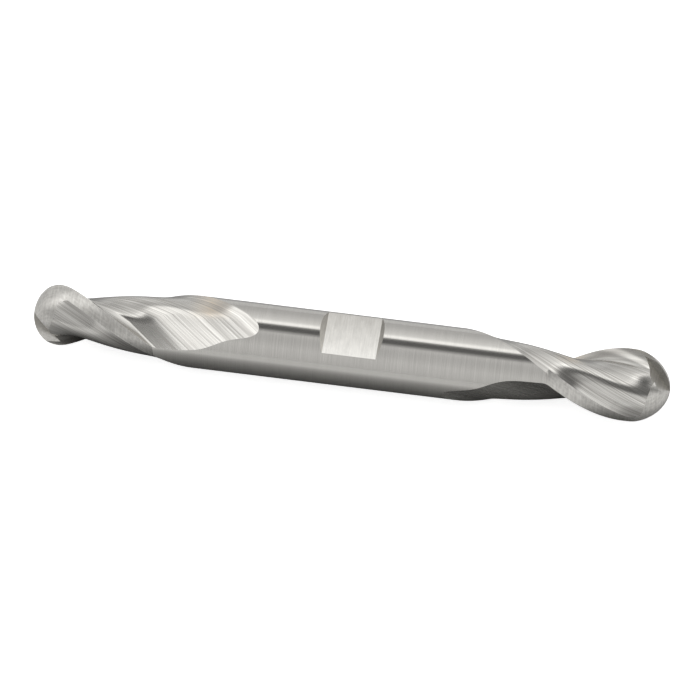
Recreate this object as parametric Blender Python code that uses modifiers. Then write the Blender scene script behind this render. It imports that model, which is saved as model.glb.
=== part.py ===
"""Ball end mill with two cutting ends, ground from one round bar of high-speed steel.

Metres, +Z up. The tool's axis runs along X, the set-screw flat faces +Z, and the shank's lowest
line lies on Z = 0 under the middle of the tool.

Both ends are alike but for their flutes' length: right-hand cutting, two right-hand flutes and a
ball nose. Each cutter is made in the frame of an end: the tip at the origin, the bar towards -X, and
a tooth's cutting edge at the angle HELIX * x about X. An end's roll and a half turn about Y then
place it.
"""

import math

import bpy
import numpy as np
from mathutils import Matrix

MM = 0.001

# The bar. Shank and cutting diameter are one.
TOOL_DIAMETER = 9.525 * MM
OVERALL_LENGTH = 84.1 * MM

# The teeth.
TEETH = 2
HELIX_ANGLE = math.radians(31.5)
CORE_DIAMETER = 5.1 * MM
LEFT_FLUTE_LENGTH = 16.4 * MM
RIGHT_FLUTE_LENGTH = 16.0 * MM
LAND_RELIEF = math.radians(9.5)
BALL_RELIEF = math.radians(11.0)
WITNESS_LAND = 0.08 * MM
POINT_DIAMETER = 0.5 * MM

# The relief reaches round past the land's heel, and ends short of the flute with a short rise out
# of the bar.
PAST_HEEL_ARC = math.radians(16.5)
SHORT_OF_FLUTE = 0.2 * MM
RUN_OUT_LENGTH = 0.6 * MM
RUN_OUT_RISE = 0.5 * MM

# How far round the ball its relief reaches, and where along the ball, as shares of its depth,
# this narrows to the land's relief. Ahead of the edge the relief's surface runs on outside the
# bar, and behind its arc it leads out of the bar.
BALL_ARC = math.radians(160.0)
LEAD_IN_ARC = math.radians(10.0)
NARROWS_FROM = 0.3
NARROWS_TO = 0.75
LEAD_OUT_ARC = math.radians(14.0)
LEAD_OUT_RISE = 1.67 * MM

# The wheel that grinds a flute. Its rim runs from the rake corner back to the heel corner. It
# tapers, is slightly crowned, and has worn to two low swells.
WHEEL_DIAMETER = 127.1 * MM
WHEEL_SWIVEL = math.radians(39.3)
RAKE_OFFSET = 3.4 * MM
WHEEL_WIDTH = 14.7 * MM
RAKE_CORNER = 0.65 * MM
HEEL_CORNER = 0.4 * MM
RIM_TAPER = math.radians(8.4)
RIM_CROWN = 0.15 * MM
RIM_SWELL = 0.38 * MM
RAKE_SIDE_LEAN = math.radians(-76.0)
HEEL_SIDE_LEAN = math.radians(72.0)

# The gash in front of each edge at the ball's centre: a flat rake face, and a floor that leans
# back from the centre into the flute.
GASH_TILT = math.radians(29.0)
GASH_FLOOR_ANGLE = math.radians(45.0)
GASH_PAST_CENTRE = 0.1 * MM
WEB_THICKNESS = 0.24 * MM

# The set-screw flat, at mid length.
FLAT_LENGTH = 7.1 * MM
FLAT_DEPTH = 1.27 * MM
FLAT_RAMP = 0.65 * MM

# How each end is rolled about the axis, from the flat.
RIGHT_ROLL = math.radians(75.2)
LEFT_ROLL = math.radians(141.4)

# Facets.
ROUND_STEPS = 72
NOSE_STEPS = 14
RELIEF_NOSE_STEPS = 23
RAKE_STEPS = 7
HEEL_STEPS = 4
RIM_STEPS = 16
TURN_STEP = math.radians(4.0)
LEAVING_STEPS = 18
LAND_STEPS = 8
OUTSIDE_STEPS = 4
SHARP_ANGLE = math.radians(25.0)

RADIUS = TOOL_DIAMETER / 2
WHEEL_RADIUS = WHEEL_DIAMETER / 2
HELIX = math.tan(HELIX_ANGLE) / RADIUS
CLEAR = RADIUS  # how far a cutter reaches past the bar


def clear_scene():
    for old in list(bpy.data.objects):
        bpy.data.objects.remove(old, do_unlink=True)


def collection(name):
    made = bpy.data.collections.new(name)
    bpy.context.scene.collection.children.link(made)
    return made


def loft(name, loops):
    """A closed body through loops of points, each loop an equal number of (x, y, z) rows."""
    count, around = loops.shape[:2]
    index = np.arange(count * around).reshape(count, around)
    here, there = index[:-1], index[1:]
    sides = np.stack([here, np.roll(here, -1, 1), np.roll(there, -1, 1), there], -1)
    faces = sides.reshape(-1, 4).tolist() + [index[0, ::-1].tolist(), index[-1].tolist()]
    mesh = bpy.data.meshes.new(name)
    mesh.from_pydata(loops.reshape(-1, 3).tolist(), [], faces)
    mesh.validate()
    if signed_volume(mesh) < 0:
        mesh.flip_normals()
    mesh.shade_smooth()
    mesh.set_sharp_from_angle(angle=SHARP_ANGLE)
    return mesh


def signed_volume(mesh):
    """Six times the volume, below zero where the faces point inwards."""
    mesh.calc_loop_triangles()
    corners = [[mesh.vertices[i].co for i in tri.vertices] for tri in mesh.loop_triangles]
    return sum(a.dot(b.cross(c)) for a, b, c in corners)


def polar(x, radius, angle):
    """Points at a radius and an angle about X, the angle from +Y towards +Z."""
    x, radius, angle = np.broadcast_arrays(x, radius, angle)
    return np.stack([x, radius * np.cos(angle), radius * np.sin(angle)], -1)


def turned_bar():
    """The bar with a ball at each end: half its outline, turned about X."""
    centre = OVERALL_LENGTH / 2 - RADIUS
    turn = np.linspace(0, math.pi / 2, NOSE_STEPS + 1)
    x = centre + RADIUS * np.cos(turn)
    y = RADIUS * np.sin(turn)
    y[0] = 0.0
    outline = np.concatenate([np.stack([x, y], -1), np.stack([-x, y], -1)[::-1]])
    points = [(px, py, 0.0) for px, py in outline.tolist()]
    edges = [(i, i + 1) for i in range(len(points) - 1)]
    mesh = bpy.data.meshes.new("ball_end_mill")
    mesh.from_pydata(points, edges, [])
    bar = bpy.data.objects.new("ball_end_mill", mesh)
    screw = bar.modifiers.new("turned", "SCREW")
    screw.axis = "X"
    screw.steps = screw.render_steps = ROUND_STEPS
    screw.use_merge_vertices = True
    screw.merge_threshold = 1e-6
    return bar


def wheel_outline():
    """Rows of the wheel's outline: place across the rim, radius, and lean of its surface.

    A lean of zero faces the tool's axis, a quarter turn either way is a side of the wheel."""

    def rim(across):
        share = (across + RAKE_OFFSET) / WHEEL_WIDTH
        crown = 4 * RIM_CROWN * share * (1 - share)
        swell = RIM_SWELL * np.sin(2 * math.pi * share) ** 2
        rising = 4 * RIM_CROWN * (1 - 2 * share) + 2 * math.pi * RIM_SWELL * np.sin(4 * math.pi * share)
        fall = share * WHEEL_WIDTH * math.tan(RIM_TAPER)
        lean = np.arctan(math.tan(RIM_TAPER) - rising / WHEEL_WIDTH)
        return np.stack([across, WHEEL_RADIUS - fall + crown + swell, lean], -1)

    def corner(touching, round_radius, side_lean, steps):
        across, radius, lean = touching
        leans = np.linspace(lean, side_lean, steps)
        place = across + round_radius * (np.sin(leans) - math.sin(lean))
        return np.stack([place, radius + round_radius * (np.cos(leans) - math.cos(lean)), leans], -1)

    across = np.linspace(RAKE_CORNER, WHEEL_WIDTH - HEEL_CORNER, RIM_STEPS + 1) - RAKE_OFFSET
    middle = rim(across)
    rake = corner(middle[0], RAKE_CORNER, RAKE_SIDE_LEAN, RAKE_STEPS)[::-1]
    heel = corner(middle[-1], HEEL_CORNER, HEEL_SIDE_LEAN, HEEL_STEPS)
    return np.concatenate([rake, middle[1:-1], heel])


def contact_turn(outline, centre):
    """Where round the wheel each row of its outline touches the flute.

    The wheel touches where its surface runs along the screw motion. For a wheel swivelled by s,
    at the distance c from the axis, this is a cos t - b sin t + d = 0."""
    across, radius, lean = outline.T
    sway, swing = math.sin(WHEEL_SWIVEL), math.cos(WHEEL_SWIVEL)
    a = HELIX * swing * (across * np.cos(lean) - radius * np.sin(lean))
    b = np.cos(lean) * (HELIX * centre * sway + swing)
    d = np.sin(lean) * (HELIX * centre * swing - sway)
    size = np.hypot(a, b)
    return np.arctan2(a, b) + np.arcsin(np.clip(d / size, -1, 1))


def wheel_points(outline, turn, centre, x):
    """Points on the wheel, in the end's frame, when the wheel's centre stands at x along the axis."""
    across, radius, _ = outline.T
    sway, swing = math.sin(WHEEL_SWIVEL), math.cos(WHEEL_SWIVEL)
    out = centre - radius * np.cos(turn)
    side = across * swing - radius * np.sin(turn) * sway
    along = -across * sway - radius * np.sin(turn) * swing
    return polar(x + along, np.hypot(out, side), np.arctan2(side, out) + HELIX * x)


def crossing_angles(points):
    """Where round the bar a wheel's curve crosses its surface at the rake and at the heel, at the tip."""
    radius = np.hypot(points[:, 1], points[:, 2])
    angle = np.unwrap(np.arctan2(points[:, 2], points[:, 1])) - HELIX * points[:, 0]
    lowest = int(np.argmin(radius))
    rake = np.interp(-RADIUS, -radius[: lowest + 1], angle[: lowest + 1])
    heel = np.interp(RADIUS, radius[lowest:], angle[lowest:])
    return rake, heel


def flute_contact():
    """The wheel's outline, its centre's distance, its contact with the flute, and the contact curve."""
    outline = wheel_outline()
    centre = CORE_DIAMETER / 2 + WHEEL_RADIUS
    touching = contact_turn(outline, centre)
    return outline, centre, touching, wheel_points(outline, touching, centre, 0.0)


def flute_cutter(flute_length):
    """What the wheel sweeps: along the helix to the flute's full length, then round its own rim
    and out of the bar, which leaves the flute's leaf-shaped end."""
    outline, centre, touching, sample = flute_contact()
    lead_in = CLEAR - sample[:, 0].min()
    steps = math.ceil((lead_in + flute_length) * HELIX / TURN_STEP)
    swept = [
        wheel_points(outline, touching, centre, x)
        for x in np.linspace(lead_in, -flute_length, steps + 1)
    ]
    leaving_turn = math.acos(1 - (RADIUS + CLEAR) / WHEEL_RADIUS)
    for share in np.linspace(0, 1, LEAVING_STEPS + 1)[1:]:
        turn = touching + share * (leaving_turn - touching)
        swept.append(wheel_points(outline, turn, centre, -flute_length))
    curves = np.array(swept)
    turned = turned_about_x(curves, -crossing_angles(sample)[0])
    return loft("flute_cutter", np.concatenate([turned, outer_arc(turned)], 1))


def turned_about_x(points, angle):
    """Points turned about X."""
    cos, sin = math.cos(angle), math.sin(angle)
    x, y, z = np.moveaxis(points, -1, 0)
    return np.stack([x, cos * y - sin * z, sin * y + cos * z], -1)


def outer_arc(curves):
    """The way back outside the bar from each curve's last point to its first."""
    first, last = curves[:, 0], curves[:, -1]
    start = np.arctan2(last[:, 2], last[:, 1])
    end = np.arctan2(first[:, 2], first[:, 1])
    span = (start - end) % (2 * math.pi)
    share = np.linspace(0, 1, OUTSIDE_STEPS + 1)
    x = last[:, :1] + share * (first[:, :1] - last[:, :1])
    angle = start[:, None] - share * span[:, None]
    reach = np.hypot(curves[..., 1], curves[..., 2]).max() + CLEAR
    return polar(x, reach, angle)


def relief_cutter(flute_length):
    """What relief grinding takes from behind one cutting edge, along the land and over the ball.

    Behind the edge the radius falls evenly with the angle. On the ball the relief reaches far
    round, to the next edge, and towards the cylinder it narrows to the width of the land."""
    nose = np.linspace(math.asin(POINT_DIAMETER / TOOL_DIAMETER), math.pi / 2, RELIEF_NOSE_STEPS + 1)
    cutting_length = flute_length - SHORT_OF_FLUTE
    steps = math.ceil((cutting_length - RADIUS) * HELIX / TURN_STEP)
    leaving = cutting_length + RUN_OUT_LENGTH * np.array([0.5, 1.0])
    along = np.concatenate([np.linspace(RADIUS, cutting_length, steps + 1)[1:], leaving])
    depth = np.concatenate([RADIUS * (1 - np.cos(nose)), along])
    ball = np.clip(depth / RADIUS, 0, 1)
    base = RADIUS * np.sqrt(1 - (1 - ball) ** 2)
    depth = np.concatenate([[-CLEAR], depth])
    ball = np.concatenate([[0.0], ball])
    base = np.concatenate([[POINT_DIAMETER / 2], base])
    fall = math.tan(BALL_RELIEF) + (math.tan(LAND_RELIEF) - math.tan(BALL_RELIEF)) * ball**2
    rake, heel = crossing_angles(flute_contact()[3])
    land_arc = 2 * math.pi / TEETH - (heel - rake) + PAST_HEEL_ARC
    narrow = np.clip((ball - NARROWS_FROM) / (NARROWS_TO - NARROWS_FROM), 0, 1)
    arc = BALL_ARC + (land_arc - BALL_ARC) * narrow * narrow * (3 - 2 * narrow)
    share = np.linspace(0, 1, LAND_STEPS + 1)
    behind = share * (arc[:, None] + LEAD_IN_ARC) - LEAD_IN_ARC
    inner = base[:, None] * (1 - fall[:, None] * (behind - WITNESS_LAND / RADIUS))
    rise = RUN_OUT_RISE * np.clip((depth - cutting_length) / RUN_OUT_LENGTH, 0, 1)
    inner = inner + rise[:, None]
    behind = np.concatenate([behind, arc[:, None] + LEAD_OUT_ARC], 1)
    inner = np.concatenate([inner, inner[:, -1:] + LEAD_OUT_RISE], 1)
    edge = HELIX * -np.maximum(depth, 0)
    curves = polar(-depth[:, None], inner, edge[:, None] - behind)
    back = np.linspace(1, 0, LAND_STEPS)
    outer_angle = edge[:, None] - behind[:, :1] - back * (behind[:, -1:] - behind[:, :1])
    outer = polar(-depth[:, None], RADIUS + CLEAR, outer_angle)
    return loft("relief_cutter", np.concatenate([curves, outer], 1))


def gash_cutter():
    """A wedge with one corner on the line where the gash's rake face meets its floor.

    The rake face recedes from the centre by the gash's tilt, and the floor stays square to it."""
    recede = math.tan(GASH_TILT)
    fall = math.tan(GASH_FLOOR_ANGLE)
    reach = TOOL_DIAMETER
    loops = []
    for x in (CLEAR, -reach):
        y = -GASH_PAST_CENTRE - x * fall
        corner = (x, y, WEB_THICKNESS / 2 + x * recede)
        floor_side = (x, y, corner[2] + 2 * reach)
        top = x + reach
        rake_side = (top, y + reach / fall, corner[2] + reach * recede)
        loops.append([corner, floor_side, (top, rake_side[1], floor_side[2]), rake_side])
    return loft("gash_cutter", np.array(loops))


def flat_cutter():
    """The set-screw flat: a block with leaning ends, drawn across the shank."""
    floor = RADIUS - FLAT_DEPTH
    half = FLAT_LENGTH / 2
    slope = FLAT_RAMP / FLAT_DEPTH
    top = floor + FLAT_DEPTH + CLEAR
    wide = half + slope * (top - floor)
    profile = [(-half, floor), (half, floor), (wide, top), (-wide, top)]
    sides = [RADIUS + CLEAR, -RADIUS - CLEAR]
    loops = np.array([[(x, y, z) for x, z in profile] for y in sides])
    return loft("flat_cutter", loops)


def cut(body, tool, name):
    modifier = body.modifiers.new(name, "BOOLEAN")
    modifier.operation = "DIFFERENCE"
    modifier.solver = "EXACT"
    modifier.object = tool


def cutter_object(name, mesh, place, axis, cutters):
    tool = bpy.data.objects.new(name, mesh)
    tool.parent = axis
    tool.matrix_local = place
    tool.hide_render = True
    tool.display_type = "WIRE"
    cutters.objects.link(tool)
    return tool


def steel():
    material = bpy.data.materials.new("ground_steel")
    material.use_nodes = True
    shader = material.node_tree.nodes["Principled BSDF"]
    shader.inputs["Base Color"].default_value = (0.56, 0.55, 0.52, 1.0)
    shader.inputs["Metallic"].default_value = 1.0
    shader.inputs["Roughness"].default_value = 0.28
    return material


def end_places():
    """Each end's name, where the frame of that end lies, and its flutes' length."""
    out = Matrix.Translation((OVERALL_LENGTH / 2, 0, 0))
    half_turn = Matrix.Rotation(math.pi, 4, "Y")
    return (
        ("right", out @ Matrix.Rotation(RIGHT_ROLL, 4, "X"), RIGHT_FLUTE_LENGTH),
        ("left", half_turn @ out @ Matrix.Rotation(LEFT_ROLL, 4, "X"), LEFT_FLUTE_LENGTH),
    )


def main():
    clear_scene()
    part = collection("ball_end_mill")
    cutters = collection("cutters")
    axis = bpy.data.objects.new("tool_axis", None)
    axis.location.z = RADIUS
    part.objects.link(axis)

    body = turned_bar()
    body.parent = axis
    body.data.materials.append(steel())
    part.objects.link(body)

    for end, place, flute_length in end_places():
        grindings = (
            ("relief", relief_cutter(flute_length)),
            ("flute", flute_cutter(flute_length)),
            ("gash", gash_cutter()),
        )
        for kind, mesh in grindings:
            for tooth in range(TEETH):
                turned = place @ Matrix.Rotation(2 * math.pi * tooth / TEETH, 4, "X")
                name = f"{end}_{kind}_{tooth + 1}"
                cut(body, cutter_object(name, mesh, turned, axis, cutters), name)
    cut(body, cutter_object("set_screw_flat", flat_cutter(), Matrix(), axis, cutters), "set_screw_flat")

    body.data.shade_smooth()


main()
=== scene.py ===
"""Ball end mill with two cutting ends, dressed in ground steel, on a pale studio floor.

The tool is ground once more from its bar, finer than the frame's solid and with the marks that each
grinding leaves: round the shank, along the flutes, over the lands and the balls, across the gashes
and the set-screw flat. The tool's axis runs along X, and it lies on Z = 0.
"""

import math

import bpy
import numpy as np
from bpy.props import FloatProperty, FloatVectorProperty, IntProperty, PointerProperty
from mathutils import Matrix, Vector


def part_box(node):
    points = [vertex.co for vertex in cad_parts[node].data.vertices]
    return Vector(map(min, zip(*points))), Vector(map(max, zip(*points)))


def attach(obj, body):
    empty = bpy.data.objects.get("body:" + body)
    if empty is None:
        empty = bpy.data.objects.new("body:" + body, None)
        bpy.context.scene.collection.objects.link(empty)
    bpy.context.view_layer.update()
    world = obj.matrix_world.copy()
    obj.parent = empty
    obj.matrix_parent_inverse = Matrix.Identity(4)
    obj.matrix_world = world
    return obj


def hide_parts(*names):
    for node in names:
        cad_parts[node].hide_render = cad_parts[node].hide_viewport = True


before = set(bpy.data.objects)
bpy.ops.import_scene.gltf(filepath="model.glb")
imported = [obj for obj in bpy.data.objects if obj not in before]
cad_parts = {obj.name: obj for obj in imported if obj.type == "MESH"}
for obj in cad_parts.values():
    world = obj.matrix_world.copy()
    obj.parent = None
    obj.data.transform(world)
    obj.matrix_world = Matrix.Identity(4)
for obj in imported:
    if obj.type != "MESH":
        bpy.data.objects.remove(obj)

bl_info = {
    "name": "Ball End Mill",
    "version": (1, 0, 0),
    "blender": (4, 5, 0),
    "location": "3D View > Sidebar > End Mill",
    "description": "Grinds a two-ended ball end mill from a bar and sets it on a studio floor",
    "category": "Add Mesh",
}

MM = 0.001
NODE = "ball_end_mill"
LOW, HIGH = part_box(NODE)
TEETH = 2

# The finishes' places in the mesh's list of materials.
SHANK, FLUTE, LAND, GASH, FLAT = range(5)

# Colour of the tent, and the strength of its light where its share is one.
TENT_COLOUR = (0.8, 0.8, 0.8, 1.0)
FULL_LIGHT = 2.0

# Shares of the tent's light, at shares of the half turn from the floor beyond the tool over its top
# to the floor before it.
MIDDLE_LIGHT = (
    (0.0, 0.40), (0.10, 0.43), (0.16, 0.49), (0.22, 0.56), (0.29, 0.66), (0.325, 0.87),
    (0.37, 0.87), (0.385, 0.18), (0.42, 0.065), (0.475, 0.065), (0.51, 0.28), (0.54, 0.47),
    (0.60, 0.42), (0.68, 0.43), (0.80, 0.50), (0.90, 0.47), (1.0, 0.42),
)
LEFT_LIGHT = (
    (0.0, 0.5), (0.12, 0.58), (0.27, 0.42), (0.34, 0.46),
    (0.39, 0.95), (0.56, 0.95), (0.64, 0.4), (1.0, 0.3),
)
RIGHT_LIGHT = (
    (0.0, 0.38), (0.15, 0.66), (0.36, 0.75), (0.41, 0.14), (0.58, 0.10), (0.67, 0.55), (1.0, 0.6),
)

# Where along X the tent's middle gives way to its sides, and over what width.
LEFT_FROM = 0.125
LEFT_WIDTH = 0.125
RIGHT_FROM = 1 / 70
RIGHT_WIDTH = 1 / 7

# Grinding marks of each finish: how fast they vary along and across the marks, per millimetre, and
# their weight.
SHANK_MARKS = ((0.15, 9.0, 0.5), (0.04, 1.2, 0.2))
FLUTE_MARKS = ((0.06, 4.5, 2.0), (0.04, 1.2, 1.6))
LAND_MARKS = ((4.0, 0.4, 1.0), (0.2, 2.2, 0.8), (2.6, 2.6, 0.9))
GASH_MARKS = ((4.0, 4.0, 0.9), (1.0, 1.0, 0.4))
FLAT_MARKS = ((0.3, 5.0, 0.4), (0.5, 0.8, 0.4))

# Middle along X and half length of each patch with a straw tint, in millimetres, and the tint's
# depth where the marks leave it even.
WARM_PATCHES = ((-18.9, 3.0), (28.8, 2.2))
WARM_DEPTH = 0.6


def length(name, description, default):
    return FloatProperty(
        name=name, description=description, default=default, min=0.0, precision=6, unit="LENGTH"
    )


def angle(name, description, degrees):
    return FloatProperty(
        name=name, description=description, default=math.radians(degrees), precision=4, unit="ROTATION"
    )


def colour(name, description, default):
    return FloatVectorProperty(
        name=name, description=description, default=default, size=3, min=0.0, max=1.0, subtype="COLOR"
    )


def share(name, description, default):
    return FloatProperty(
        name=name, description=description, default=default, min=0.0, max=1.0, subtype="FACTOR"
    )


def facets(name, description, default):
    return IntProperty(name=name, description=description, default=default, min=2)


class ToolSizes(bpy.types.PropertyGroup):
    """What the tool's drawing gives."""

    diameter: length("Diameter", "Shank and cutting diameter", HIGH.y - LOW.y)
    overall_length: length("Overall length", "From ball to ball", HIGH.x - LOW.x)
    helix: angle("Helix", "Lead angle of the flutes on the cutting diameter", 31.5)
    core: length("Core", "Diameter of the core between the flutes", 5.1 * MM)
    left_flute: length("Left flute", "From the left tip to the wheel's last place", 16.4 * MM)
    right_flute: length("Right flute", "From the right tip to the wheel's last place", 16.0 * MM)
    land_relief: angle("Land relief", "Fall of the land behind its edge", 9.5)
    ball_relief: angle("Ball relief", "Fall of the ball behind its edge", 11.0)
    point: length("Point", "Diameter of the ball's unrelieved point", 0.5 * MM)
    witness_land: length("Witness land", "Width of the unrelieved land behind the edge", 0.08 * MM)
    past_heel: angle("Past the heel", "How far round past the land's heel the relief reaches", 16.5)
    short_of_flute: length("Short of the flute", "From the relief's end to the flute's end", 0.2 * MM)
    run_out: length("Run-out", "Length over which the relief rises out of the bar", 0.6 * MM)
    run_out_rise: length("Run-out rise", "How far the relief rises over its run-out", 0.5 * MM)
    ball_arc: angle("Ball arc", "How far round the relief of the ball reaches", 160.0)
    narrows_from: share("Narrows from", "Share of the ball's depth where its relief narrows", 0.3)
    narrows_to: share("Narrows to", "Share of the ball's depth where it is as wide as the land's", 0.75)
    lead_in: angle("Lead-in", "How far ahead of the edge the relief's surface starts", 10.0)
    lead_out: angle("Lead-out", "Arc over which the relief leaves the bar behind the land", 14.0)
    lead_out_rise: length("Lead-out rise", "How far the relief rises over its lead-out", 1.67 * MM)
    gash_tilt: angle("Gash tilt", "Lean of the gash's rake face", 29.0)
    gash_floor: angle("Gash floor", "Lean of the gash's floor", 45.0)
    past_centre: length("Past the centre", "How far the gash reaches past the axis", 0.1 * MM)
    web: length("Web", "Thickness left between the two gashes", 0.24 * MM)
    flat_ramp: length("Flat ramp", "Length of the leaning end of the set-screw flat", 0.65 * MM)
    flat_length: length("Flat length", "Floor of the set-screw flat, along the shank", 7.1 * MM)
    flat_depth: length("Flat depth", "Depth of the set-screw flat", 1.27 * MM)
    right_roll: angle("Right roll", "Turn of the right end about the axis", 75.2)
    left_roll: angle("Left roll", "Turn of the left end about the axis", 141.4)


class WheelSizes(bpy.types.PropertyGroup):
    """The wheel that grinds the flutes."""

    diameter: length("Wheel diameter", "Diameter of the wheel at its rake corner", 127.1 * MM)
    swivel: angle("Swivel", "Turn of the wheel from the tool's axis", 39.3)
    rake_offset: length("Rake offset", "From the wheel's rake corner to the tool's axis", 3.4 * MM)
    width: length("Width", "Width of the wheel's rim", 14.7 * MM)
    rake_corner: length("Rake corner", "Radius of the corner that leaves the gullet", 0.65 * MM)
    heel_corner: length("Heel corner", "Radius of the corner on the heel's side", 0.4 * MM)
    taper: angle("Taper", "Taper of the rim", 8.4)
    crown: length("Crown", "How far the rim stands out in the middle", 0.15 * MM)
    swell: length("Swell", "Height of the two low swells that the rim has worn to", 0.38 * MM)
    rake_side: angle("Rake side", "Lean of the wheel's side at the rake", -76.0)
    heel_side: angle("Heel side", "Lean of the wheel's side at the heel", 72.0)


class SteelLook(bpy.types.PropertyGroup):
    """Colours and gloss of the ground steel."""

    dark: colour("Dark steel", "Steel in the valleys of the grinding marks", (0.36, 0.347, 0.325))
    bright: colour("Bright steel", "Steel on the crests of the grinding marks", (0.77, 0.757, 0.72))
    warm: colour("Straw tint", "Tint where the wheel ran warm", (0.66, 0.57, 0.46))
    shank_roughness: share("Shank roughness", "Roughness of the ground shank", 0.14)
    flute_roughness: share("Flute roughness", "Roughness of the ground flutes", 0.20)
    leaf_roughness: share("Leaf roughness", "Roughness where the wheel left a flute", 0.27)
    land_roughness: share("Land roughness", "Roughness of lands and balls", 0.34)
    flat_roughness: share("Flat roughness", "Roughness of the set-screw flat", 0.24)
    # Painted sheen: the flat's colour is made lighter towards its near edge and darker away from it,
    # standing in for the light it reflects.
    flat_painted_sheen: share("Flat fade", "How fast the flat dulls from its near edge, per millimetre", 0.1)
    relief: length("Relief", "Height of the grinding marks", 0.002 * MM)
    gloss_change: share("Gloss change", "How much the marks change the gloss", 0.12)


class StudioLook(bpy.types.PropertyGroup):
    """Floor, light and camera."""

    floor: colour("Floor", "Colour of the floor", (0.92, 0.92, 0.92))
    floor_reach: length("Floor reach", "From the middle of the floor to its edge", 3.0)
    floor_gap: length("Floor gap", "From the tool's lowest line down to the floor", 0.02 * MM)
    floor_glow: share("Floor glow", "Light that lifts the floor to white for the camera", 0.7)
    # Painted shade: for reflections only, the floor's colour turns to this dark near the tool, standing
    # in for the tool's shadow on it.
    shade: colour("Shade", "Colour of the floor by the tool, as the metal sees it", (0.07, 0.07, 0.067))
    shade_width: length("Shade width", "How far beside the tool's axis the shade reaches", 28.0 * MM)
    shade_past_tip: length("Shade past the tip", "How far past the tips the shade ends", 4.205 * MM)
    shade_fading: length("Shade fading", "Length over which the shade fades at its ends", 10.0 * MM)
    lamp_length: length("Lamp length", "Length of the strip lamp, along the tool", 1.2)
    lamp_width: length("Lamp width", "Width of the strip lamp", 0.12)
    lamp_distance: length("Lamp distance", "From the tool to the strip lamp", 0.8)
    lamp_elevation: angle("Lamp elevation", "How high the strip lamp stands, beyond the tool", 62.0)
    lamp_lean: FloatProperty(
        name="Lamp lean", description="Lean along X of the way from the tool to the lamp", default=-0.08
    )
    lamp_power: FloatProperty(
        name="Lamp power", description="Power of the strip lamp", default=0.10, min=0.0, unit="POWER"
    )
    azimuth: angle("Azimuth", "Where the camera stands, round the tool", 8.43)
    elevation: angle("Elevation", "How high the camera stands", 56.0)
    camera_distance: length("Camera distance", "From the tool to the camera", 0.5)
    view_width: length("View width", "Width of the camera's view", 91.59 * MM)
    aim_right: FloatProperty(
        name="Aim right",
        description="Tool's middle right of the view's centre",
        default=0.288 * MM,
        precision=6,
        unit="LENGTH",
    )
    aim_down: FloatProperty(
        name="Aim down",
        description="Tool's middle below the view's centre",
        default=0.105 * MM,
        precision=6,
        unit="LENGTH",
    )


class FineSteps(bpy.types.PropertyGroup):
    """How fine the surfaces are."""

    round_steps: facets("Round", "Facets round the bar", 240)
    nose_steps: facets("Nose", "Facets from the ball's pole to the bar", 40)
    relief_nose_steps: facets("Relief nose", "Places along the relief from pole to bar", 47)
    rim_steps: facets("Rim", "Facets across the wheel's rim", 36)
    corner_steps: facets("Corner", "Facets round the wheel's rake corner", 16)
    turn_step: angle("Turn step", "Turn of the tool from one facet to the next", 1.6)
    leaving_steps: facets("Leaving", "Facets where the wheel leaves", 64)
    land_steps: facets("Land", "Facets over a land", 20)
    run_out_steps: facets("Run-out", "Facets along the relief's run-out", 4)
    outside_steps: facets("Outside", "Facets of the way back outside the bar", 5)
    sharp_angle: angle("Sharp angle", "Least angle between facets that meet at a crisp edge", 25.0)


# Surfaces.


def about_x(x, radius, turn):
    """Points at a radius and a turn about X, the turn from +Y towards +Z."""
    x, radius, turn = np.broadcast_arrays(x, radius, turn)
    return np.stack([x, radius * np.cos(turn), radius * np.sin(turn)], -1)


def turned(points, turn):
    """Points turned about X: y' = y cos t - z sin t and z' = y sin t + z cos t."""
    x, y, z = np.moveaxis(points, -1, 0)
    cos, sin = math.cos(turn), math.sin(turn)
    return np.stack([x, cos * y - sin * z, sin * y + cos * z], -1)


def fill_mesh(name, points, faces, marks, finish, materials):
    """A mesh with its grinding marks as an attribute, in millimetres.

    marks holds one (along, across) pair for each corner of each face, in the faces' order."""
    mesh = bpy.data.meshes.new(name)
    mesh.from_pydata(points.tolist(), [], faces)
    attribute = mesh.attributes.new("marks", "FLOAT2", "CORNER")
    attribute.data.foreach_set("vector", marks.astype(np.float32).ravel())
    mesh.polygons.foreach_set("material_index", np.full(len(mesh.polygons), finish, np.int32))
    for material in materials:
        mesh.materials.append(material)
    mesh.update()
    return mesh


def carried_mesh(name, loops, marks, finish, materials):
    """A closed body through loops of points: loop i, point j joins loop i + 1 and point j + 1."""
    count, around = loops.shape[:2]
    index = np.arange(count * around).reshape(count, around)
    sides = np.stack(
        [index[:-1], np.roll(index[:-1], -1, 1), np.roll(index[1:], -1, 1), index[1:]], -1
    ).reshape(-1, 4)
    caps = [index[0, ::-1], index[-1]]
    points = loops.reshape(-1, 3)
    a, b, c, d = (points[sides[:, corner]] for corner in range(4))
    volume = np.einsum("ij,ij->", a, np.cross(b, c)) + np.einsum("ij,ij->", a, np.cross(c, d))
    if volume < 0:
        sides = sides[:, ::-1]
        caps = [cap[::-1] for cap in caps]
    faces = sides.tolist() + [cap.tolist() for cap in caps]
    corners = marks.reshape(-1, 2)[np.concatenate([sides.ravel(), *caps])]
    return fill_mesh(name, points, faces, corners, finish, materials)


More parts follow.
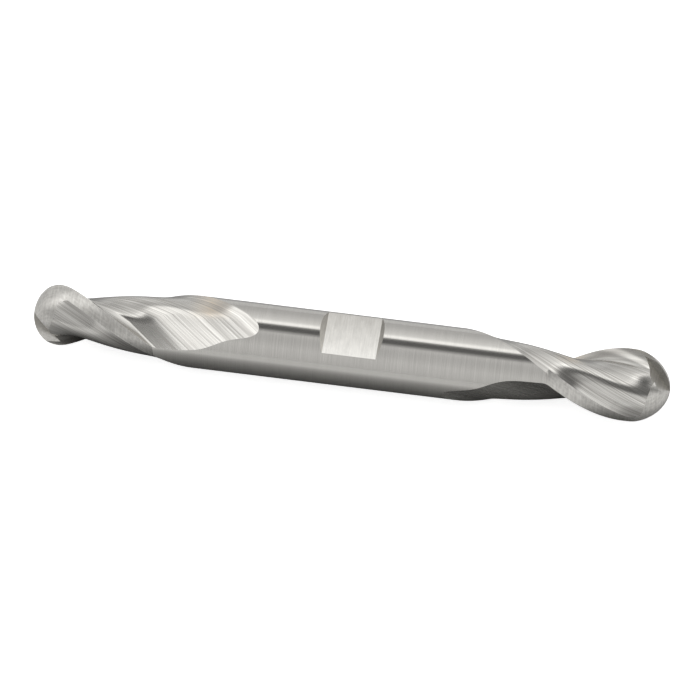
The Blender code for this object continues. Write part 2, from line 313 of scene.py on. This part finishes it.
def bar_mesh(size, steps, materials):
    """The bar: x = c + R cos t and r = R sin t over each ball, turned about X, with the balls' centres
    c apart by the straight shank. A fan closes each pole."""
    radius = size.diameter / 2
    centre = size.overall_length / 2 - radius
    t = np.linspace(0, math.pi / 2, steps.nose_steps + 1)[1:]
    x = centre + radius * np.cos(t)
    r = radius * np.sin(t)
    x = np.concatenate([x, -x[::-1]])
    r = np.concatenate([r, r[::-1]])
    rings, around = len(x), steps.round_steps
    turn = np.arange(around + 1) * (2 * math.pi / around)
    grid = about_x(x[:, None], r[:, None], turn[None, :-1]).reshape(-1, 3)
    poles = about_x(np.array([0.5, -0.5]) * size.overall_length, 0.0, 0.0)
    index = np.arange(rings * around).reshape(rings, around)
    index = np.concatenate([index, index[:, :1]], 1)
    marks = np.stack(np.broadcast_arrays(turn * radius / MM, x[:, None] / MM), -1)

    def sides(of):
        return np.stack([of[1:, :-1], of[1:, 1:], of[:-1, 1:], of[:-1, :-1]], 2)

    def fan(of, right_pole, left_pole):
        right = np.stack([of[0, :-1], of[0, 1:], right_pole], 1)
        left = np.stack([of[-1, 1:], of[-1, :-1], left_pole], 1)
        return np.concatenate([right, left])

    right_pole, left_pole = (np.full(around, len(grid) + pole) for pole in range(2))
    faces = sides(index).reshape(-1, 4).tolist() + fan(index, right_pole, left_pole).tolist()
    fan_marks = fan(marks, marks[0, :-1], marks[-1, :-1])
    corners = np.concatenate([sides(marks).reshape(-1, 2), fan_marks.reshape(-1, 2)])
    return fill_mesh("bar", np.concatenate([grid, poles]), faces, corners, SHANK, materials)


def wheel_outline(wheel, steps):
    """Rows of the wheel's outline: place across the rim, radius, and lean of its surface.

    At the share s of its width W the rim's radius is R - s W tan(taper) + 4 c s (1 - s) +
    w sin^2(2 pi s), with the crown c and the swell w, and tan(lean) is its slope. Each corner is an
    arc that goes on from the rim: place = p + q sin a and radius = m + q cos a for the lean a."""

    def rim(across):
        share = (across + wheel.rake_offset) / wheel.width
        crown = 4 * wheel.crown * share * (1 - share)
        swell = wheel.swell * np.sin(2 * math.pi * share) ** 2
        rising = 4 * wheel.crown * (1 - 2 * share)
        rising = rising + 2 * math.pi * wheel.swell * np.sin(4 * math.pi * share)
        fall = share * wheel.width * math.tan(wheel.taper)
        lean = np.arctan(math.tan(wheel.taper) - rising / wheel.width)
        return np.stack([across, wheel.diameter / 2 - fall + crown + swell, lean], -1)

    def corner(touching, rounding, side, count):
        across, radius, lean = touching
        leans = np.linspace(lean, side, count)
        place = across + rounding * (np.sin(leans) - math.sin(lean))
        return np.stack([place, radius + rounding * (np.cos(leans) - math.cos(lean)), leans], -1)

    across = np.linspace(wheel.rake_corner, wheel.width - wheel.heel_corner, steps.rim_steps + 1)
    middle = rim(across - wheel.rake_offset)
    rake = corner(middle[0], wheel.rake_corner, wheel.rake_side, steps.corner_steps)[::-1]
    heel = corner(middle[-1], wheel.heel_corner, wheel.heel_side, steps.corner_steps // 2)
    return np.concatenate([rake, middle[1:-1], heel])


def contact_turn(outline, centre, swivel, helix):
    """Where round the wheel each row touches the flute: where the surface runs along the screw
    motion, a cos t - b sin t + d = 0."""
    across, radius, lean = outline.T
    sway, swing = math.sin(swivel), math.cos(swivel)
    a = helix * swing * (across * np.cos(lean) - radius * np.sin(lean))
    b = np.cos(lean) * (helix * centre * sway + swing)
    d = np.sin(lean) * (helix * centre * swing - sway)
    return np.arctan2(a, b) + np.arcsin(np.clip(d / np.hypot(a, b), -1, 1))


def wheel_points(outline, turn, centre, swivel, helix, x):
    """Points on the wheel whose centre is at x along the axis: the circle of each row, swivelled,
    stood off by the distance of the centre, and turned with the screw motion."""
    across, radius, _ = outline.T
    sway, swing = math.sin(swivel), math.cos(swivel)
    out = centre - radius * np.cos(turn)
    side = across * swing - radius * np.sin(turn) * sway
    along = -across * sway - radius * np.sin(turn) * swing
    return about_x(x + along, np.hypot(out, side), np.arctan2(side, out) + helix * x)


def crossing_turns(points, radius, helix):
    """Where a wheel's curve crosses the bar's surface at the rake and at the heel."""
    r = np.hypot(points[:, 1], points[:, 2])
    turn = np.unwrap(np.arctan2(points[:, 2], points[:, 1])) - helix * points[:, 0]
    lowest = int(np.argmin(r))
    rake = np.interp(-radius, -r[: lowest + 1], turn[: lowest + 1])
    return rake, np.interp(radius, r[lowest:], turn[lowest:])


def outside_arc(curves, clear, steps):
    """The way back round the bar from each curve's last point to its first: radius steady, turn
    and x even."""
    first, last = curves[:, 0], curves[:, -1]
    start = np.arctan2(last[:, 2], last[:, 1])
    span = (start - np.arctan2(first[:, 2], first[:, 1])) % (2 * math.pi)
    part = np.linspace(0, 1, steps.outside_steps + 1)
    x = last[:, :1] + part * (first[:, :1] - last[:, :1])
    reach = np.hypot(curves[..., 1], curves[..., 2]).max() + clear
    return about_x(x, reach, start[:, None] - part * span[:, None])


def flute_mesh(size, wheel, steps, flute_length, materials):
    """What the wheel sweeps: the contact curve carried along the helix to the flute's full length,
    then round the wheel's own rim out of the bar, which leaves the leaf. Marks run down the helix,
    and over the leaf round the wheel."""
    radius = size.diameter / 2
    helix = math.tan(size.helix) / radius
    outline = wheel_outline(wheel, steps)
    centre = size.core / 2 + wheel.diameter / 2
    touching = contact_turn(outline, centre, wheel.swivel, helix)
    sample = wheel_points(outline, touching, centre, wheel.swivel, helix, 0.0)
    lead_in = radius - sample[:, 0].min()
    count = math.ceil((lead_in + flute_length) * helix / steps.turn_step)
    stations = np.linspace(lead_in, -flute_length, count + 1)
    across = outline[:, 0] / MM
    swept = [wheel_points(outline, touching, centre, wheel.swivel, helix, x) for x in stations]
    marks = [np.stack([-back + 0 * across, across], -1) for back in (stations + flute_length) / MM]
    leaving = math.acos(1 - 2 * radius / (wheel.diameter / 2))
    for part in np.linspace(0, 1, steps.leaving_steps + 1)[1:]:
        turn = touching + part * (leaving - touching)
        swept.append(wheel_points(outline, turn, centre, wheel.swivel, helix, -flute_length))
        marks.append(np.stack([(turn - touching) * wheel.diameter / 2 / MM, across], -1))
    curves = turned(np.array(swept), -crossing_turns(sample, radius, helix)[0])
    marks = np.array(marks)
    outer = outside_arc(curves, radius, steps)
    outer_marks = np.repeat(marks[:, -1:], outer.shape[1], 1)
    loops = np.concatenate([curves, outer], 1)
    return carried_mesh("flute", loops, np.concatenate([marks, outer_marks], 1), FLUTE, materials)


def relief_mesh(size, wheel, steps, flute_length, materials):
    """What relief grinding takes from behind one edge: r = b (1 - f (a - w)), for the ball's or the
    bar's radius b, the turn a behind the edge, the fall f and the witness land's turn w."""
    radius = size.diameter / 2
    helix = math.tan(size.helix) / radius
    point, witness = size.point / 2, size.witness_land / radius
    cutting_length = flute_length - size.short_of_flute
    nose = np.linspace(math.asin(point / radius), math.pi / 2, steps.relief_nose_steps)
    count = math.ceil((cutting_length - radius) * helix / steps.turn_step)
    leaving = cutting_length + size.run_out * np.linspace(0, 1, steps.run_out_steps + 1)[1:]
    along = np.concatenate([np.linspace(radius, cutting_length, count + 1)[1:], leaving])
    depth = np.concatenate([radius * (1 - np.cos(nose)), along])
    ball = np.clip(depth / radius, 0, 1)
    base = radius * np.sqrt(1 - (1 - ball) ** 2)
    path = np.concatenate([radius * nose, radius * (math.pi / 2 - 1) + along])
    depth = np.concatenate([[-radius], depth])
    ball = np.concatenate([[0.0], ball])
    base = np.concatenate([[point], base])
    path = np.concatenate([[-radius], path])
    ball_fall, land_fall = math.tan(size.ball_relief), math.tan(size.land_relief)
    fall = ball_fall + (land_fall - ball_fall) * ball**2
    outline = wheel_outline(wheel, steps)
    centre = size.core / 2 + wheel.diameter / 2
    touching = contact_turn(outline, centre, wheel.swivel, helix)
    sample = wheel_points(outline, touching, centre, wheel.swivel, helix, 0.0)
    rake, heel = crossing_turns(sample, radius, helix)
    land_arc = 2 * math.pi / TEETH - (heel - rake) + size.past_heel
    narrow = np.clip((ball - size.narrows_from) / (size.narrows_to - size.narrows_from), 0, 1)
    arc = size.ball_arc + (land_arc - size.ball_arc) * narrow * narrow * (3 - 2 * narrow)
    part = np.linspace(0, 1, steps.land_steps + 1)
    behind = part * (arc[:, None] + size.lead_in) - size.lead_in
    inner = base[:, None] * (1 - fall[:, None] * (behind - witness))
    inner = inner + size.run_out_rise * np.clip((depth - cutting_length) / size.run_out, 0, 1)[:, None]
    behind = np.concatenate([behind, arc[:, None] + size.lead_out], 1)
    inner = np.concatenate([inner, inner[:, -1:] + size.lead_out_rise], 1)
    edge = -helix * np.maximum(depth, 0)
    curves = about_x(-depth[:, None], inner, edge[:, None] - behind)
    marks = np.stack(np.broadcast_arrays(path[:, None] / MM, behind * base[:, None] / MM), -1)
    back = np.linspace(1, 0, steps.outside_steps + 2)
    outer_turn = edge[:, None] - behind[:, :1] - back * (behind[:, -1:] - behind[:, :1])
    outer = about_x(-depth[:, None], 2 * radius, outer_turn)
    outer_marks = np.repeat(marks[:, -1:], outer.shape[1], 1)
    loops = np.concatenate([curves, outer], 1)
    return carried_mesh("relief", loops, np.concatenate([marks, outer_marks], 1), LAND, materials)


def gash_mesh(size, materials):
    """A wedge under the line where the gash's flat rake face meets its leaning floor."""
    recede, fall = math.tan(size.gash_tilt), math.tan(size.gash_floor)
    reach = size.diameter
    loops = []
    for x in (reach / 2, -reach):
        y = -size.past_centre - x * fall
        z = size.web / 2 + x * recede
        top, outer, upper = x + reach, y + reach / fall, z + 2 * reach
        loops.append([(x, y, z), (x, y, upper), (top, outer, upper), (top, outer, z + reach * recede)])
    loops = np.array(loops)
    return carried_mesh("gash", loops, loops[..., [0, 1]] / MM, GASH, materials)


def flat_mesh(size, materials):
    """The set-screw flat: a block with leaning ends, drawn across the shank."""
    radius = size.diameter / 2
    floor = radius - size.flat_depth
    half = size.flat_length / 2
    slope = size.flat_ramp / size.flat_depth
    wide = half + slope * (size.flat_depth + radius)
    profile = [(-half, floor), (half, floor), (wide, 2 * radius), (-wide, 2 * radius)]
    loops = np.array([[(x, y, z) for x, z in profile] for y in (2 * radius, -2 * radius)])
    return carried_mesh("flat", loops, loops[..., [1, 0]] / MM, FLAT, materials)


# Materials.


class Signal:
    """A socket inside a node tree. Arithmetic on it adds Math nodes."""

    def __init__(self, tree, socket):
        self.tree = tree
        self.socket = socket

    def math(self, operation, *values):
        return self.tree.node("ShaderNodeMath", {"operation": operation}, dict(enumerate(values)))

    def __add__(self, other):
        return self.math("ADD", self, other)

    def __sub__(self, other):
        return self.math("SUBTRACT", self, other)

    def __rsub__(self, other):
        return self.math("SUBTRACT", other, self)

    def __mul__(self, other):
        return self.math("MULTIPLY", self, other)

    def __truediv__(self, other):
        return self.math("DIVIDE", self, other)

    def __abs__(self):
        return self.math("ABSOLUTE", self)

    __radd__ = __add__
    __rmul__ = __mul__

    def clamp(self):
        return self.tree.node("ShaderNodeClamp", {}, {0: self})


class Tree:
    """A material's or world's nodes."""

    def __init__(self, owner):
        owner.use_nodes = True
        self.owner = owner
        self.nodes = owner.node_tree.nodes
        self.links = owner.node_tree.links
        self.nodes.clear()

    def node(self, kind, settings=None, inputs=None, output=0):
        """Adds a node: its settings first, with a ramp's stops among them, then its sockets' values.

        It returns one of the node's outputs, or all of them by name where output is None."""
        made = self.nodes.new(kind)
        for key, value in (settings or {}).items():
            if key == "stops":
                self.stops(made.color_ramp, value)
            else:
                setattr(made, key, value)
        for key, value in (inputs or {}).items():
            if isinstance(value, Signal):
                self.links.new(value.socket, made.inputs[key])
            else:
                made.inputs[key].default_value = value
        if output is None:
            return {socket.name: Signal(self, socket) for socket in made.outputs}
        return Signal(self, made.outputs[output]) if made.outputs else made

    def split(self, vector):
        """A vector's X, Y and Z."""
        return self.node("ShaderNodeSeparateXYZ", {}, {0: vector}, None)

    @staticmethod
    def stops(ramp, stops):
        while len(ramp.elements) < len(stops):
            ramp.elements.new(1.0)
        for element, (place, value) in zip(ramp.elements, stops):
            element.position = place
            element.color = (value, value, value, 1.0)

    def mix(self, factor, first, second):
        """Between two colours."""
        sockets = {0: factor, 6: rgba(first), 7: rgba(second)}
        return self.node("ShaderNodeMix", {"data_type": "RGBA"}, sockets, output=2)

    def scaled(self, vector, scale):
        return self.node("ShaderNodeVectorMath", {"operation": "MULTIPLY"}, {0: vector, 1: scale})

    def noise(self, vector, detail=2.0, roughness=0.5):
        inputs = {"Vector": vector, "Scale": 1.0, "Detail": detail, "Roughness": roughness}
        return self.node("ShaderNodeTexNoise", {"noise_dimensions": "3D"}, inputs)

    def ramp(self, value, *stops):
        """A value through a ramp of (place, value) stops."""
        ramp = self.node("ShaderNodeValToRGB", {"stops": stops}, {0: value})
        return self.node("ShaderNodeRGBToBW", {}, {0: ramp})


def rgba(value):
    return value if isinstance(value, Signal) else (*value, 1.0)


def ground_steel(name, look, roughness, marks, painted_sheen=0.0, warm=False):
    """Steel with grinding marks: fine and broad noise stretched along the marks, which shade it,
    change its gloss and stand as a slight relief.

    A painted sheen lightens the face's colour towards its near edge and darkens it away from there,
    along the marks: painted light, not a change in the steel. A warm finish is rougher over its leaf,
    and has a straw tint beyond the axis, where the wheel ran warm."""
    tree = Tree(bpy.data.materials.new(name))
    place = tree.node("ShaderNodeAttribute", {"attribute_name": "marks"}, output="Vector")
    grain = 0.0
    for along, across, weight in marks:
        layer = tree.noise(tree.scaled(place, (along, across, 1.0)), detail=3.0, roughness=0.6)
        grain = (layer - 0.5) * weight + grain
    marks_and_painted_sheen = grain + 0.5
    # Painted sheen: where asked, the colour brightens towards the near edge along the marks and dulls
    # away from it.
    if painted_sheen:
        marks_and_painted_sheen = marks_and_painted_sheen + tree.split(place)["X"] * -painted_sheen + painted_sheen / 2
    shade = tree.mix(marks_and_painted_sheen.clamp(), look.dark, look.bright)
    if warm:
        leaf = tree.split(place)["X"].clamp()
        roughness = leaf * look.leaf_roughness + (1.0 - leaf) * roughness
        tint = warm_patches(tree) * (grain + WARM_DEPTH)
        shade = tree.mix(tint.clamp(), shade, look.warm)
    relief = {"Strength": 1.0, "Distance": look.relief, "Height": grain}
    sockets = {
        "Base Color": shade,
        "Metallic": 1.0,
        "Roughness": (grain * -look.gloss_change + roughness).clamp(),
        "Normal": tree.node("ShaderNodeBump", {}, relief),
    }
    shader = tree.node("ShaderNodeBsdfPrincipled", {}, sockets)
    tree.node("ShaderNodeOutputMaterial", {}, {"Surface": shader})
    return tree.owner


def warm_patches(tree):
    """One in the middle of each warm patch beyond the axis, and nothing outside them."""
    where = tree.split(tree.node("ShaderNodeTexCoord", output="Object"))
    heat = 0.0
    for middle, reach in WARM_PATCHES:
        off = abs(where["X"] / MM - middle)
        heat = (1.0 - off / reach).clamp() + heat
    return heat * (where["Y"] / MM + 0.5).clamp()


def steel_finishes(look):
    """The finishes of the tool, in the order of SHANK, FLUTE, LAND, GASH and FLAT."""
    return [
        ground_steel("shank_ground", look, look.shank_roughness, SHANK_MARKS),
        ground_steel("flute_ground", look, look.flute_roughness, FLUTE_MARKS, warm=True),
        ground_steel("land_ground", look, look.land_roughness, LAND_MARKS),
        ground_steel("gash_ground", look, look.land_roughness, GASH_MARKS),
        ground_steel("flat_ground", look, look.flat_roughness, FLAT_MARKS, painted_sheen=look.flat_painted_sheen),
    ]


# The tool.


def end_places(size):
    """Where the frame of each end lies, with its tip at the origin and the bar towards -X, and the
    length of its flutes."""
    out = Matrix.Translation((size.overall_length / 2, 0, 0))
    half_turn = Matrix.Rotation(math.pi, 4, "Y")
    return (
        (out @ Matrix.Rotation(size.right_roll, 4, "X"), size.right_flute),
        (half_turn @ out @ Matrix.Rotation(size.left_roll, 4, "X"), size.left_flute),
    )


def ground_away(body, mesh, place, used):
    tool = bpy.data.objects.new(mesh.name, mesh)
    tool.matrix_world = place
    tool.hide_render = True
    bpy.context.scene.collection.objects.link(tool)
    modifier = body.modifiers.new(mesh.name, "BOOLEAN")
    modifier.operation = "DIFFERENCE"
    modifier.solver = "EXACT"
    modifier.material_mode = "INDEX"
    modifier.object = tool
    used.append(tool)


def values(items, name, kind):
    """One value of each item, as an array."""
    out = np.empty(len(items), kind)
    items.foreach_get(name, out)
    return out


def crisp(mesh, sharp_angle):
    """Smooth surfaces, with an edge wherever two grindings meet."""
    mesh.shade_smooth()
    mesh.set_sharp_from_angle(angle=sharp_angle)
    edge_of = values(mesh.loops, "edge_index", np.int32)
    finish = values(mesh.polygons, "material_index", np.int32)
    finish_of = np.repeat(finish, values(mesh.polygons, "loop_total", np.int32))
    lowest = np.full(len(mesh.edges), FLAT)
    highest = np.full(len(mesh.edges), SHANK)
    np.minimum.at(lowest, edge_of, finish_of)
    np.maximum.at(highest, edge_of, finish_of)
    sharp = values(mesh.edges, "use_edge_sharp", bool)
    mesh.edges.foreach_set("use_edge_sharp", sharp | (lowest != highest))


class ENDMILL_OT_tool(bpy.types.Operator):
    """Grind the tool from its bar"""

    bl_idname = "endmill.tool"
    bl_label = "Grind the tool"

    def execute(self, context):
        scene = context.scene
        size, wheel, steps = scene.endmill_tool, scene.endmill_wheel, scene.endmill_steps
        finishes = steel_finishes(scene.endmill_steel)
        body = bpy.data.objects.new("ball_end_mill_ground", bar_mesh(size, steps, finishes))
        scene.collection.objects.link(body)
        used = []
        for place, flute_length in end_places(size):
            cutters = (
                relief_mesh(size, wheel, steps, flute_length, finishes),
                flute_mesh(size, wheel, steps, flute_length, finishes),
                gash_mesh(size, finishes),
            )
            for mesh in cutters:
                for tooth in range(TEETH):
                    turn = Matrix.Rotation(2 * math.pi * tooth / TEETH, 4, "X")
                    ground_away(body, mesh, place @ turn, used)
        ground_away(body, flat_mesh(size, finishes), Matrix(), used)
        ground = bpy.data.meshes.new_from_object(body.evaluated_get(context.evaluated_depsgraph_get()))
        if not ground.polygons:
            raise RuntimeError("the grinding left nothing of the bar")
        body.modifiers.clear()
        body.data = ground
        for tool in used:
            bpy.data.objects.remove(tool, do_unlink=True)
        ground.name = "ball_end_mill_ground"
        ground.transform(Matrix.Translation((0, 0, size.diameter / 2)))
        crisp(ground, steps.sharp_angle)
        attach(body, "root")
        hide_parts(NODE)
        return {"FINISHED"}


class ENDMILL_OT_stage(bpy.types.Operator):
    """Set the floor, the light and the camera"""

    bl_idname = "endmill.stage"
    bl_label = "Set the stage"

    def execute(self, context):
        scene = context.scene
        studio = scene.endmill_studio
        scene.view_settings.view_transform = "Standard"
        self.floor(scene, studio)
        self.tent(scene)
        self.lamp(scene, studio)
        self.camera(scene, studio)
        return {"FINISHED"}

    @staticmethod
    def floor(scene, studio):
        """A pale floor. To the metal's reflections it is darker by the tool: a painted shade in the
        floor's colour, for glossy rays only, standing in for the tool's shadow on it.
        """
        half = studio.floor_reach
        corners = [(-half, -half, 0), (half, -half, 0), (half, half, 0), (-half, half, 0)]
        mesh = bpy.data.meshes.new("floor")
        mesh.from_pydata(corners, [], [(0, 1, 2, 3)])
        floor = bpy.data.objects.new("floor", mesh)
        floor.location.z = -studio.floor_gap
        scene.collection.objects.link(floor)
        tree = Tree(bpy.data.materials.new("floor"))
        rays = tree.node("ShaderNodeLightPath", output=None)
        place = tree.split(tree.node("ShaderNodeTexCoord", output="Object"))
        # Painted shade for glossy rays: the floor darkens beside the tool and a little past its tips,
        # standing in for the tool's shadow as the metal sees it.
        shade_end = scene.endmill_tool.overall_length / 2 + studio.shade_past_tip
        beside = (1.0 - abs(place["Y"]) / studio.shade_width).clamp()
        inside = ((shade_end - abs(place["X"])) / studio.shade_fading).clamp()
        painted_shade_mask = beside * inside * rays["Is Glossy Ray"]
        colour = tree.mix(painted_shade_mask, studio.floor, studio.shade)
        matt = tree.node("ShaderNodeBsdfDiffuse", {}, {"Color": colour})
        seen = rays["Is Camera Ray"] + rays["Is Transmission Ray"]
        glow = tree.node("ShaderNodeEmission", {}, {"Strength": seen * studio.floor_glow})
        both = tree.node("ShaderNodeAddShader", {}, {0: matt, 1: glow})
        tree.node("ShaderNodeOutputMaterial", {}, {"Surface": both})
        mesh.materials.append(tree.owner)

    @staticmethod
    def tent(scene):
        """A pale tent round the floor, one even light gray to the camera. Along the tool's middle it
        has a bright strip beyond the tool and a dark slot overhead, and its left and right sides are
        plainer."""
        scene.world = bpy.data.worlds.new("tent")
        tree = Tree(scene.world)
        way = tree.split(tree.node("ShaderNodeTexCoord", output="Generated"))
        turn = way["Z"].math("ARCTAN2", way["Z"], way["Y"]) / math.pi
        middle = tree.ramp(turn, *MIDDLE_LIGHT)
        left = tree.ramp(turn, *LEFT_LIGHT)
        right = tree.ramp(turn, *RIGHT_LIGHT)
        leftward = ((way["X"] * -1.0 - LEFT_FROM) / LEFT_WIDTH).clamp()
        rightward = ((way["X"] - RIGHT_FROM) / RIGHT_WIDTH).clamp()
        light = middle + leftward * (left - middle) + rightward * (right - middle)
        seen = tree.node("ShaderNodeLightPath", output="Is Camera Ray")
        strength = seen + (1.0 - seen) * light * FULL_LIGHT
        sockets = {"Color": TENT_COLOUR, "Strength": strength}
        background = tree.node("ShaderNodeBackground", {}, sockets)
        tree.node("ShaderNodeOutputWorld", {}, {"Surface": background})

    @staticmethod
    def lamp(scene, studio):
        """A long soft lamp beyond the tool, high up."""
        data = bpy.data.lights.new("strip", "AREA")
        data.shape = "RECTANGLE"
        data.size = studio.lamp_length
        data.size_y = studio.lamp_width
        data.energy = studio.lamp_power
        lamp = bpy.data.objects.new("strip", data)
        up = studio.lamp_elevation
        way = Vector((studio.lamp_lean, math.cos(up), math.sin(up)))
        lamp.location = way * studio.lamp_distance
        lamp.rotation_euler = way.to_track_quat("Z", "Y").to_euler()
        scene.collection.objects.link(lamp)

    @staticmethod
    def camera(scene, studio):
        """A camera without perspective, aimed at the tool's middle."""
        a, e = studio.azimuth, studio.elevation
        back = Vector((math.sin(a) * math.cos(e), -math.cos(a) * math.cos(e), math.sin(e)))
        right = Vector((math.cos(a), math.sin(a), 0))
        up = back.cross(right)
        data = bpy.data.cameras.new("camera")
        data.type = "ORTHO"
        data.ortho_scale = studio.view_width
        camera = bpy.data.objects.new("camera", data)
        middle = Vector((0, 0, scene.endmill_tool.diameter / 2))
        aim = middle - studio.aim_right * right + studio.aim_down * up
        camera.location = aim + back * studio.camera_distance
        camera.rotation_euler = back.to_track_quat("Z", "Y").to_euler()
        data.clip_start = MM
        data.clip_end = 2 * studio.floor_reach
        scene.collection.objects.link(camera)
        scene.camera = camera


class ENDMILL_PT_panel(bpy.types.Panel):
    """Lists the pieces of the end mill's scene"""

    bl_idname = "ENDMILL_PT_panel"
    bl_label = "Ball End Mill"
    bl_space_type = "VIEW_3D"
    bl_region_type = "UI"
    bl_category = "End Mill"

    def draw(self, context):
        for operator in OPERATORS:
            self.layout.operator(operator.bl_idname)


OPERATORS = (ENDMILL_OT_tool, ENDMILL_OT_stage)
GROUPS = {
    "endmill_tool": ToolSizes,
    "endmill_wheel": WheelSizes,
    "endmill_steel": SteelLook,
    "endmill_studio": StudioLook,
    "endmill_steps": FineSteps,
}


def register():
    for group in GROUPS.values():
        bpy.utils.register_class(group)
    for name, group in GROUPS.items():
        setattr(bpy.types.Scene, name, PointerProperty(type=group))
    for made in (*OPERATORS, ENDMILL_PT_panel):
        bpy.utils.register_class(made)


def unregister():
    for made in (ENDMILL_PT_panel, *reversed(OPERATORS)):
        bpy.utils.unregister_class(made)
    for name in GROUPS:
        delattr(bpy.types.Scene, name)
    for group in reversed(GROUPS.values()):
        bpy.utils.unregister_class(group)


def main():
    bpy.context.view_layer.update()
    register()
    bpy.ops.endmill.tool()
    bpy.ops.endmill.stage()


if __name__ == "__main__":
    main()
